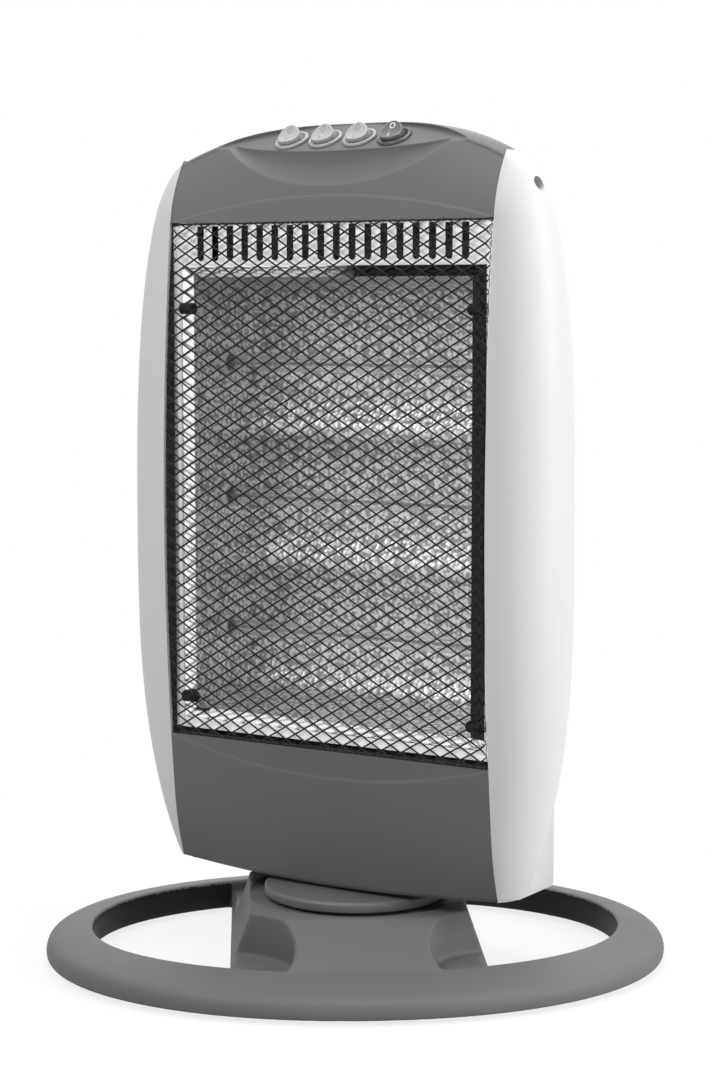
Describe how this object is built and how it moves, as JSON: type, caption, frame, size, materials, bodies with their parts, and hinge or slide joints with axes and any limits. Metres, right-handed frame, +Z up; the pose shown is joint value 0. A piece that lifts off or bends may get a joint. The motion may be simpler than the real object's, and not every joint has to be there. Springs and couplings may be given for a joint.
{
  "type": "halogen heater",
  "caption": "Free-standing halogen heater: upright head with quartz lamps behind a bowed mesh, rocker switches on top, swinging on an oval ring base.",
  "frame": {"origin": "on the swivel axis at floor level, under the feet", "axes": "+Z up; the head faces -Y; +X to the viewer's right; the base is turned 35 degrees under the head, as pictured"},
  "size_m": [0.3966, 0.371, 0.554],
  "materials": {
    "shell_plastic": "light grey moulded covers, satin",
    "console_plastic": "mid grey moulded plastic, fine grain",
    "black_plastic": "black moulded plastic",
    "rubber": "soft rubber feet",
    "steel": "zinc-plated steel",
    "white_nylon": "natural nylon",
    "black_mesh": "black enamelled expanded steel",
    "bright_aluminium": "bright embossed aluminium sheet",
    "quartz": "milky quartz tube",
    "filament_wire": "tungsten wire",
    "ceramic": "steatite ceramic",
    "switch_grey": "light grey rocker switch",
    "switch_red": "red rocker switch",
    "brass": "turned brass weight"
  },
  "bodies": {
    "base": {"base_shell": "console_plastic", "base_cover": "black_plastic", "rubber_feet": "rubber", "base_screws": "steel", "pivot_spindle": "steel", "thrust_washers": "white_nylon", "fixed_gear": "white_nylon", "spindle_nut": "steel"},
    "head": {"oscillation_motor": "steel", "swivel_disc": "console_plastic", "floor_pan": "black_plastic", "pan_screws": "steel", "left_side_cover": "shell_plastic", "right_side_cover": "shell_plastic", "side_cover_screws": "steel", "top_console": "console_plastic", "bottom_panel": "console_plastic", "back_cover": "shell_plastic", "back_cover_screws": "steel", "cord_gland": "black_plastic", "front_grille": "black_mesh", "grille_studs": "black_plastic", "reflector_frame": "bright_aluminium", "reflector": "bright_aluminium", "lamp_tube_1": "quartz", "lamp_tube_2": "quartz", "lamp_tube_3": "quartz", "lamp_filament_1": "filament_wire", "lamp_filament_2": "filament_wire", "lamp_filament_3": "filament_wire", "lamp_caps_1": "ceramic", "lamp_caps_2": "ceramic", "lamp_caps_3": "ceramic", "left_lamp_bracket": "bright_aluminium", "right_lamp_bracket": "bright_aluminium", "heat_shield": "bright_aluminium", "thermal_cutout": "white_nylon", "switch_body_1": "switch_grey", "switch_body_2": "switch_grey", "switch_body_3": "switch_grey", "switch_body_4": "switch_red", "tip_switch_body": "black_plastic", "terminal_block": "white_nylon"},
    "pinion": {"motor_pinion": "white_nylon"},
    "tip_pendulum": {"tip_switch_pendulum": "brass"},
    "switch_rocker_1": {"rocker_1": "switch_grey"},
    "switch_rocker_2": {"rocker_2": "switch_grey"},
    "switch_rocker_3": {"rocker_3": "switch_grey"},
    "switch_rocker_4": {"rocker_4": "switch_red"}
  },
  "joints": [
    {"name": "head_swing", "type": "hinge", "parent": "base", "child": "head", "pos_m": [0, 0, 0.049], "axis": [0, 0, 1], "range_deg": [-5, 75]},
    {"name": "pinion_spin", "type": "hinge", "parent": "head", "child": "pinion", "pos_m": [0, 0.0351, 0.065], "axis": [0, 0, 1], "range_deg": [-20, 300]},
    {"name": "tip_pendulum_swing", "type": "hinge", "parent": "head", "child": "tip_pendulum", "pos_m": [0.062, 0.02, 0.084], "axis": [1, 0, 0], "range_deg": [-25, 25]},
    {"name": "rocker_1_press", "type": "hinge", "parent": "head", "child": "switch_rocker_1", "pos_m": [-0.03945, -0.01505, 0.54187], "axis": [1, 0, 0], "range_deg": [-36, 0]},
    {"name": "rocker_2_press", "type": "hinge", "parent": "head", "child": "switch_rocker_2", "pos_m": [-0.01315, -0.01505, 0.54187], "axis": [1, 0, 0], "range_deg": [-36, 0]},
    {"name": "rocker_3_press", "type": "hinge", "parent": "head", "child": "switch_rocker_3", "pos_m": [0.01315, -0.01505, 0.54187], "axis": [1, 0, 0], "range_deg": [-36, 0]},
    {"name": "rocker_4_press", "type": "hinge", "parent": "head", "child": "switch_rocker_4", "pos_m": [0.03945, -0.01505, 0.54187], "axis": [1, 0, 0], "range_deg": [-36, 0]}
  ],
  "couplings": [
    {"joint": "pinion_spin", "follows": "head_swing", "ratio": 4}
  ]
}
